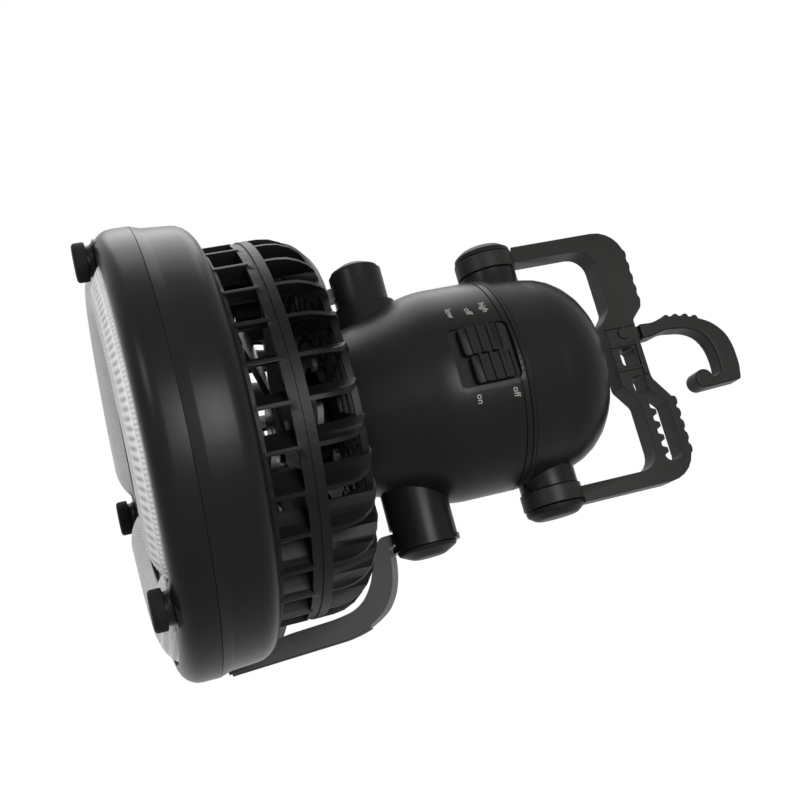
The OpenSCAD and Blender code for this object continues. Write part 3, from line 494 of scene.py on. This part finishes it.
def lens_section(low, high):
    """The way from the lens's crest over its edge to the middle of its underside.

    Each step has its place across and up and, on the patterned face, how far it tilts outwards.
    """
    centre = low + LENS_CURVE
    inner = LENS_CURVE - LENS_WALL
    wide = LENS_HALF + LENS_FLANGE
    widest = math.asin(LENS_HALF / LENS_CURVE)
    under = math.acos((centre - high) / inner)
    face = [widest * i / FACE_STEPS for i in range(FACE_STEPS + 1)]
    back = [under * i / BACK_STEPS for i in range(BACK_STEPS, -1, -1)]
    edge = [(LENS_HALF, high - LENS_WALL), (wide, high - LENS_WALL), (wide, high)]
    return ([(LENS_CURVE * math.sin(t), centre - LENS_CURVE * math.cos(t), t) for t in face]
            + [(across, up, None) for across, up in edge]
            + [(inner * math.sin(t), centre - inner * math.cos(t), None) for t in back])


def patterned_lens(index, material):
    """One clear lens segment, with its prisms and dots, in place of its smooth solid."""
    node = "lens_%d" % index
    low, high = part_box(node)
    outline = lens_outline(index)
    section = lens_section(low.z, high.z)
    rounds, levels = len(outline), len(section) - 1
    work = bmesh.new()
    bmesh.ops.create_grid(work, x_segments=rounds, y_segments=levels, size=0.5)
    relief = work.verts.layers.float.new(RELIEF)
    for vert in work.verts:
        turn, facing = outline[round((vert.co.x + 0.5) * rounds) % rounds]
        across, up, tilt = section[round((vert.co.y + 0.5) * levels)]
        outwards = Vector((math.cos(facing), math.sin(facing), 0))
        middle = Vector((math.cos(turn), math.sin(turn), 0)) * LENS_MIDDLE
        vert.co = middle + outwards * across + UP * up
        if tilt is not None:
            vert[relief] = prism_relief(vert.co)
            rise = outwards * math.sin(tilt) - UP * math.cos(tilt)
            vert.co += rise * vert[relief] * sizes().prism_depth
    bmesh.ops.remove_doubles(work, verts=work.verts, dist=0.005 * MM)
    bmesh.ops.recalc_face_normals(work, faces=work.faces)
    mesh = bpy.data.meshes.new("patterned_" + node)
    smooth_faces(work, mesh, LENS_SHARP_ANGLE)
    piece = add_piece(mesh.name, mesh, body_of_node(node), material)
    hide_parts(node)


class OBJECT_OT_fan_ring_light(bpy.types.Operator):
    """Finish the ring light: lens segments, reflector, board and LEDs"""

    bl_idname = "object.fan_ring_light"
    bl_label = "Ring Light"

    def execute(self, context):
        clear = ring_lens("lens_clear")
        for index in range(1, SEGMENTS + 1):
            patterned_lens(index, clear)
        finish_node("reflector", plain("reflector_white", (0.85, 0.85, 0.84), 0.2, 0.3))
        finish_node("led_board", plain("board_green", (0.02, 0.12, 0.05), 0.35))
        finish_node("leds", plain("led_clear", (0.9, 0.86, 0.6), 0.1, 0.5))
        return {"FINISHED"}


class OBJECT_OT_fan_cage(bpy.types.Operator):
    """Finish the louvred cage, the fan and its motor"""

    bl_idname = "object.fan_cage"
    bl_label = "Cage and Fan"

    def execute(self, context):
        # Painted shade: the cage and motor mount get the black at 0.7 of its colour, to darken the
        # rib faces where shade falls inside the cage
        black = moulded("cage_shaded_black", [c * 0.7 for c in colours().black], 0.42)
        dress("cage_front", black, LOUVRE_EDGE)
        dress("cage_rear", black, LOUVRE_EDGE)
        dress("fan_blades", moulded("blade_grey", colours().fan, 0.22, 4000.0, 0.1), THIN_EDGE)
        dress("motor_mount", black, THIN_EDGE)
        steel = bpy.data.materials["screw_steel"]
        for node in ("motor", "motor_shaft", "neck_screws"):
            finish_node(node, steel)
        return {"FINISHED"}


class OBJECT_OT_fan_body(bpy.types.Operator):
    """Finish the battery housing, its cover, the caps and what is inside"""

    bl_idname = "object.fan_body"
    bl_label = "Body"

    def execute(self, context):
        black = moulded("body_black", colours().black, 0.33)
        trim = moulded("trim_black", [c * 0.8 for c in colours().black], 0.45)
        dress("front_housing", black)
        dress("rear_cover", black)
        for node in ("stand_caps", "handle_caps"):
            dress(node, trim, CAP_EDGE)
        for node in ("fan_slider", "light_slider"):
            dress(node, trim, LOUVRE_EDGE)
        # The battery tray shares the cage's darker black, which is painted shade
        finish_node("battery_tray", bpy.data.materials["cage_shaded_black"])
        jacket = plain("cell_jacket", (0.12, 0.12, 0.14), 0.3)
        for node in ("cell_1", "cell_2"):
            finish_node(node, jacket)
        brass = metal("contact_brass", (0.75, 0.6, 0.32), 0.25)
        for node in ("front_contact", "cover_contact"):
            finish_node(node, brass)
        finish_node("switch_board", bpy.data.materials["board_green"])
        return {"FINISHED"}


# Half the thickness of the printed words, how much bolder than their font they are, and the
# size of the font for letters of height 1
INK_DEPTH = 0.08 * MM
INK_SPREAD = 0.03 * MM
FONT_SIZE = 1.15

# Each word's angle round the housing from its front, in degrees, and its place along the
# housing from the switches' middle, in millimetres
FAN_WORDS = (("low", -32, -7), ("off", -31, 0), ("high", -32, 6.4))
LIGHT_WORDS = (("on", 17.5, -6), ("off", 17.5, 8))


def printed_word(name, text, angle, shift, material):
    """Prints a word round the housing."""
    curve = bpy.data.curves.new(name, "FONT")
    curve.body = text
    curve.size = sizes().letter_height * FONT_SIZE
    curve.align_x = "CENTER"
    curve.align_y = "CENTER"
    curve.offset = INK_SPREAD
    curve.extrude = INK_DEPTH
    curve.resolution_u = 4
    draft = bpy.data.objects.new(name + "_draft", curve)
    bpy.context.scene.collection.objects.link(draft)
    bpy.context.view_layer.update()
    mesh = bpy.data.meshes.new_from_object(draft)
    bpy.data.objects.remove(draft)
    work = bmesh.new()
    work.from_mesh(mesh)
    bmesh.ops.remove_doubles(work, verts=work.verts, dist=0.0005 * MM)
    bmesh.ops.triangulate(work, faces=work.faces)
    for vert in work.verts:
        radius = sizes().body_radius + vert.co.z
        turn = math.radians(angle) + vert.co.x / radius
        up = SWITCH_MIDDLE + shift * MM + vert.co.y
        vert.co = Vector((radius * math.sin(turn), -radius * math.cos(turn), up))
    work.to_mesh(mesh)
    work.free()
    mesh.name = name
    add_piece(name, mesh, "housing", material)


class OBJECT_OT_fan_lettering(bpy.types.Operator):
    """Print the switch words on the housing"""

    bl_idname = "object.fan_lettering"
    bl_label = "Switch Words"

    def execute(self, context):
        ink = plain("letter_ink", colours().lettering, 0.5)
        for switch, words in (("fan", FAN_WORDS), ("light", LIGHT_WORDS)):
            for text, angle, shift in words:
                printed_word("word_%s_%s" % (switch, text), text, angle, shift, ink)
        return {"FINISHED"}


def plate(work, corners, depth):
    """Adds a plate that faces along Y, as deep as given and centred on Y = 0.

    Each corner has its place across and up, and how far it is cut back to round it.
    """
    before = set(work.verts)
    verts = [work.verts.new((x * MM, -depth * MM / 2, z * MM)) for x, z, _ in corners]
    work.faces.new(verts)
    for vert, (_, _, cut) in zip(verts, corners):
        if cut:
            bmesh.ops.bevel(work, geom=[vert], offset=cut * MM, offset_type="OFFSET",
                            affect="VERTICES", segments=8, profile=0.5, material=-1)
    flat = [face for face in work.faces if not set(face.verts) & before]
    raised = bmesh.ops.extrude_face_region(work, geom=flat)["geom"]
    bmesh.ops.translate(work, vec=(0, depth * MM, 0),
                        verts=[item for item in raised if isinstance(item, bmesh.types.BMVert)])


def turned(work, corners, axis, angle, steps):
    """Spins a closed section in the XZ plane about an axis, by an angle in degrees."""
    full = angle == 360
    verts = [work.verts.new(Vector((across, 0, up)) * MM) for across, up in corners]
    if full:
        geom = [work.edges.new((verts[i - 1], vert)) for i, vert in enumerate(verts)]
    else:
        geom = [work.faces.new(verts)]
    bmesh.ops.spin(work, geom=verts + geom, cent=(0, 0, 0), axis=axis, dvec=(0, 0, 0),
                   angle=math.radians(angle), steps=steps, use_merge=full, use_duplicate=False)


def disc(work, across, up, radius, depth, middle=0.0):
    """Adds a round plate that faces along Y, with its middle at the place given."""
    place = Matrix.Translation(Vector((across, middle, up)) * MM)
    bmesh.ops.create_cone(work, cap_ends=True, segments=40, radius1=radius * MM,
                          radius2=radius * MM, depth=depth * MM, matrix=place @ FACING_Y)


def block(work, low, high, depth, middle):
    """Adds a block between two corners, each across and up, with its middle along Y as given."""
    (left, bottom), (right, top) = low, high
    place = Vector(((left + right) / 2, middle, (bottom + top) / 2)) * MM
    form = Matrix.Diagonal((right - left, depth, top - bottom, 1))
    bmesh.ops.create_cube(work, size=MM, matrix=Matrix.Translation(place) @ form)


def finished_piece(work, name, node, material, edge, instead=True):
    """Makes a bmesh a piece on a node's body, instead of the node or beside it."""
    bmesh.ops.recalc_face_normals(work, faces=work.faces)
    mesh = bpy.data.meshes.new(name)
    smooth_faces(work, mesh)
    piece = add_piece(name, mesh, body_of_node(node), material)
    round_edges(piece, edge, 3)
    if instead:
        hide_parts(node)


# The stand before it is folded, in millimetres: its hinge runs along X through the origin, and
# its legs point down. The fold is in degrees
STAND_FOLD = 28.0
STAND_LEG = (
    (47.4, 0, 0), (47.4, -16.6, 2), (56, -20.8, 2.5), (64.5, -24.2, 4), (70.6, -30.5, 4),
    (72, -40, 3), (72.6, -60, 3), (74, -69, 3), (74, -86.4, 0), (81.4, -86.4, 0),
    (80.6, -58, 6), (80, -35, 5), (77.2, -25.6, 5), (72.6, -19.4, 4), (65.5, -15.2, 4),
    (57, -13.6, 2), (51.4, -13.4, 0.4), (51.4, 0, 0))
STAND_LEG_DEPTH = 8.4
STAND_FLANGE = (
    (78, -34, 0), (79.2, -86.4, 0), (82.2, -86.4, 0),
    (81.4, -58, 6), (80.8, -35, 5), (78.6, -27, 2))
STAND_FLANGE_DEPTH = 2.0
HINGE_RING = ((46.7, 4.7), (51.9, 4.7), (51.9, 8), (46.7, 8))
HALF_RING = ((74.1, -86.2), (81.2, -86.2), (81.2, -77.6), (74.1, -77.6))


class OBJECT_OT_fan_stand(bpy.types.Operator):
    """Make the swing-out stand: two bent legs and the half ring behind the head"""

    bl_idname = "object.fan_stand"
    bl_label = "Stand"

    def execute(self, context):
        work = bmesh.new()
        for side in (1, -1):
            plate(work, [(side * x, z, cut) for x, z, cut in STAND_LEG], STAND_LEG_DEPTH)
            plate(work, [(side * x, z, cut) for x, z, cut in STAND_FLANGE], STAND_FLANGE_DEPTH)
            turned(work, [(side * x, z) for x, z in HINGE_RING], (1, 0, 0), 360, 48)
        turned(work, HALF_RING, (0, 0, 1), 180, 72)
        fold = Matrix.Rotation(math.radians(STAND_FOLD), 4, "X")
        bmesh.ops.transform(work, matrix=Matrix.Translation(UP * STAND_HINGE) @ fold,
                            verts=work.verts)
        # Painted light: a paler copy of the black, standing in for the light on the leg
        black = moulded("stand_lit_black", colours().stand, 0.38)
        finished_piece(work, "bent_stand", "stand", black, STAND_EDGE)
        return {"FINISHED"}


# The handle's and the hook's forms in the frame, in millimetres
GRIP_TOP = 217.3
RAIL_TOP = 219.3
PIN_ACROSS = -9.2
PIN_UP = 206.0
HANDLE_DEPTH = 11.0
BUMP_HEIGHT = 0.5  # of what the solid has
RIB_HEIGHT = 0.9
BLOCK_RIBS = (
    ((-5.8, 209.2), (9.4, 211.4)), ((-4.9, 198.2), (-3.7, 209.2)),
    ((5.0, 198.2), (6.4, 209.2)), ((-13.0, 198.2), (-11.6, 211.4)))
BARREL_RADIUS = 2.6
HOOK_DEPTH = 9.0
HOOK_ARM = (
    (-12, 214.4, 0), (-11.6, 220.6, 1.5), (-13, 225.4, 1.5), (-12.5, 233, 3), (-10.4, 240, 3),
    (-6.7, 247, 3), (-1, 251.4, 2.5), (5, 252.8, 2.5), (13, 252.8, 2), (18.9, 251.4, 0.8),
    (19.5, 235.2, 0), (14, 235.2, 0), (15.8, 240.5, 0.5), (14.6, 243.6, 1.5), (9.6, 244.3, 2),
    (3, 243.9, 2.5), (-2.8, 241.3, 2.5), (-6.2, 236, 3), (-7.6, 225.5, 2), (-5.9, 219, 1.5),
    (-5.9, 214.4, 0))
HOOK_TIP = (15.6, 235.2, 3.9, HOOK_DEPTH + 0.8)
HOOK_BUMPS = ((-12.3, 227.4), (-12, 231.6), (-11.3, 235.8), (-10, 239.8))
HOOK_BUMP_RADIUS = 1.5
HOOK_BUMP_DEPTH = HOOK_DEPTH - 0.5
HOOK_TANG = ((-11.8, 206, 0), (-11.8, 215.4, 0), (-6.6, 215.4, 0), (-6.6, 206, 0))
HOOK_TANG_DEPTH = 4.8
HOOK_EYE_RADIUS = 4.6


def flatten_bumps(place):
    """Makes the grip's bumps low and soft."""
    top = (GRIP_TOP if place.x < 0 else RAIL_TOP) * MM
    if place.z > top:
        place.z = top + (place.z - top) * BUMP_HEIGHT


class OBJECT_OT_fan_handle(bpy.types.Operator):
    """Finish the folding handle with its ribs, and make its hook with bumps and a round tip"""

    bl_idname = "object.fan_handle"
    bl_label = "Handle and Hook"

    def execute(self, context):
        # Painted light: the handle, ribs and hook get the black at twice its colour, to stand in
        # for the light the handle arms catch
        black = moulded("handle_lit_black", [c * 2 for c in colours().black], 0.4)
        dress("handle", black, HANDLE_EDGE, flatten_bumps)
        ribs = bmesh.new()
        for face in (1, -1):
            side = face * HANDLE_DEPTH / 2
            for low, high in BLOCK_RIBS:
                block(ribs, low, high, 2 * RIB_HEIGHT, side)
            disc(ribs, PIN_ACROSS, PIN_UP, BARREL_RADIUS, 2 * RIB_HEIGHT, side)
        finished_piece(ribs, "handle_ribs", "handle", black, THIN_EDGE, instead=False)
        hook = bmesh.new()
        plate(hook, HOOK_ARM, HOOK_DEPTH)
        plate(hook, HOOK_TANG, HOOK_TANG_DEPTH)
        disc(hook, PIN_ACROSS, PIN_UP, HOOK_EYE_RADIUS, HOOK_TANG_DEPTH)
        disc(hook, *HOOK_TIP)
        for across, up in HOOK_BUMPS:
            disc(hook, across, up, HOOK_BUMP_RADIUS, HOOK_BUMP_DEPTH)
        finished_piece(hook, "bent_hook", "hook", black, HOOK_EDGE)
        finish_node("hook_pin", metal("pin_steel", (0.05, 0.05, 0.05), 0.35))
        return {"FINISHED"}


# ---------------------------------------------------------------- studio

# The camera's roll is in degrees, its lens and sensor in millimetres
CAMERA_PLACE = Vector((94.96, -433.22, -15.83)) * MM
CAMERA_TARGET = Vector((-1.25, -3.12, 108.74)) * MM
CAMERA_ROLL = 78.38
CAMERA_LENS = 54.0
CAMERA_SENSOR = 36.0

# The floor in metres: its radius, where it starts to fade and where it is gone, and how far it
# lies under the feet
FLOOR_RADIUS = 1.2
FADE_START = 0.2
FADE_END = 1.1
FLOOR_DROP = 0.2 * MM
FLOOR_GLOW = 0.5

# How strongly the surround lights the object
SURROUND_LIGHT = 0.22

# Each lamp's place from the object to the camera's right, up and back, its size in metres and
# its power in watts
LAMPS = (
    ("front_lamp", (0.34, 0.3, 0.89), 0.4, 11.0),
    ("rim_lamp", (-0.6, 0.39, 0.7), 0.2, 2.5),
    ("top_lamp", (-0.24, 0.78, -0.5), 0.8, 7.0))


def camera_turn():
    """The camera's turn: it looks at its target and rolls about that line."""
    look = (CAMERA_TARGET - CAMERA_PLACE).to_track_quat("-Z", "Y")
    return look.to_matrix() @ Matrix.Rotation(math.radians(CAMERA_ROLL), 3, "Z")


def area_lamp(name, place, size, power):
    """A soft square lamp that faces the object."""
    lamp = bpy.data.lights.new(name, "AREA")
    lamp.shape = "SQUARE"
    lamp.size = size
    lamp.energy = power
    holder = bpy.data.objects.new(name, lamp)
    bpy.context.scene.collection.objects.link(holder)
    holder.location = CAMERA_TARGET + camera_turn() @ Vector(place)
    holder.rotation_euler = (CAMERA_TARGET - holder.location).to_track_quat("-Z", "Y").to_euler()


def studio_floor():
    """A pale floor under the feet, seen from above only, that fades into the white surround."""
    work = bmesh.new()
    bmesh.ops.create_circle(work, cap_ends=True, segments=64, radius=FLOOR_RADIUS)
    mesh = bpy.data.meshes.new("studio_floor")
    work.to_mesh(mesh)
    work.free()
    floor = bpy.data.objects.new("studio_floor", mesh)
    floor.location.z = -FLOOR_DROP
    bpy.context.scene.collection.objects.link(floor)
    maker = Maker("floor_white")
    x, y, _ = maker.axes()
    radius = (x * x + y * y).math("SQRT")
    fade = maker.add("ShaderNodeClamp", {}, (radius - FADE_END) / (FADE_START - FADE_END))[0]
    camera_ray = maker.add("ShaderNodeLightPath", {})[CAMERA_RAY]
    back = maker.add("ShaderNodeNewGeometry", {})[BACK_FACING]
    shown = fade * camera_ray * (1 - back)
    maker.set(Base_Color=(0.9, 0.9, 0.9), Roughness=0.9,
              Emission_Color=(1.0, 1.0, 1.0), Emission_Strength=FLOOR_GLOW)
    clear = maker.add("ShaderNodeBsdfTransparent", {})[0]
    solid = Value(maker, maker.surface.outputs[0])
    both = maker.add("ShaderNodeMixShader", {}, shown, clear, solid)[0]
    maker.tree.links.new(both.socket, maker.output.inputs[0])
    mesh.materials.append(maker.material)


def white_surround():
    """White to the camera and in reflections, a plain grey light everywhere else."""
    world = bpy.data.worlds.new("white_surround")
    bpy.context.scene.world = world
    world.use_nodes = True
    nodes = Nodes(world.node_tree)
    shade = world.node_tree.nodes["Background"]
    rays = nodes.add("ShaderNodeLightPath", {})
    seen = rays[CAMERA_RAY].math("MAXIMUM", rays[GLOSSY_RAY])
    seen = seen.math("MAXIMUM", rays[TRANSMISSION_RAY])
    strength = nodes.add("ShaderNodeMapRange", {}, seen, To_Min=SURROUND_LIGHT, To_Max=1.0)[0]
    nodes.feed(shade.inputs["Color"], (1.0, 1.0, 1.0))
    nodes.feed(shade.inputs["Strength"], strength)


class OBJECT_OT_fan_studio(bpy.types.Operator):
    """Set the camera, the lamps, the floor and the white surround"""

    bl_idname = "object.fan_studio"
    bl_label = "Studio"

    def execute(self, context):
        camera = bpy.data.cameras.new("camera")
        camera.lens = CAMERA_LENS
        camera.sensor_width = CAMERA_SENSOR
        camera.clip_start = 0.01
        holder = bpy.data.objects.new("camera", camera)
        context.scene.collection.objects.link(holder)
        holder.matrix_world = Matrix.Translation(CAMERA_PLACE) @ camera_turn().to_4x4()
        context.scene.camera = holder
        for lamp in LAMPS:
            area_lamp(*lamp)
        studio_floor()
        white_surround()
        context.scene.view_settings.view_transform = "Standard"
        return {"FINISHED"}


# ---------------------------------------------------------------- panel and start

STEPS = (OBJECT_OT_fan_head, OBJECT_OT_fan_ring_light, OBJECT_OT_fan_cage, OBJECT_OT_fan_body,
         OBJECT_OT_fan_lettering, OBJECT_OT_fan_stand, OBJECT_OT_fan_handle, OBJECT_OT_fan_studio)


class VIEW3D_PT_camping_fan(bpy.types.Panel):
    """Lists the steps that finish the camping fan"""

    bl_idname = "VIEW3D_PT_camping_fan"
    bl_label = "Camping Fan"
    bl_space_type = "VIEW_3D"
    bl_region_type = "UI"
    bl_category = "Camping Fan"

    def draw(self, context):
        for group in (context.scene.camping_fan_sizes, context.scene.camping_fan_colours):
            box = self.layout.box()
            for name in group.__annotations__:
                box.prop(group, name)
        for step in STEPS:
            self.layout.operator(step.bl_idname)


CLASSES = (CampingFanSizes, CampingFanColours, *STEPS, VIEW3D_PT_camping_fan)


def register():
    for kind in CLASSES:
        bpy.utils.register_class(kind)
    bpy.types.Scene.camping_fan_sizes = PointerProperty(type=CampingFanSizes)
    bpy.types.Scene.camping_fan_colours = PointerProperty(type=CampingFanColours)


def unregister():
    del bpy.types.Scene.camping_fan_colours
    del bpy.types.Scene.camping_fan_sizes
    for kind in reversed(CLASSES):
        bpy.utils.unregister_class(kind)


def main():
    register()
    for step in STEPS:
        group, name = step.bl_idname.split(".")
        getattr(getattr(bpy.ops, group), name)()


if __name__ == "__main__":
    main()
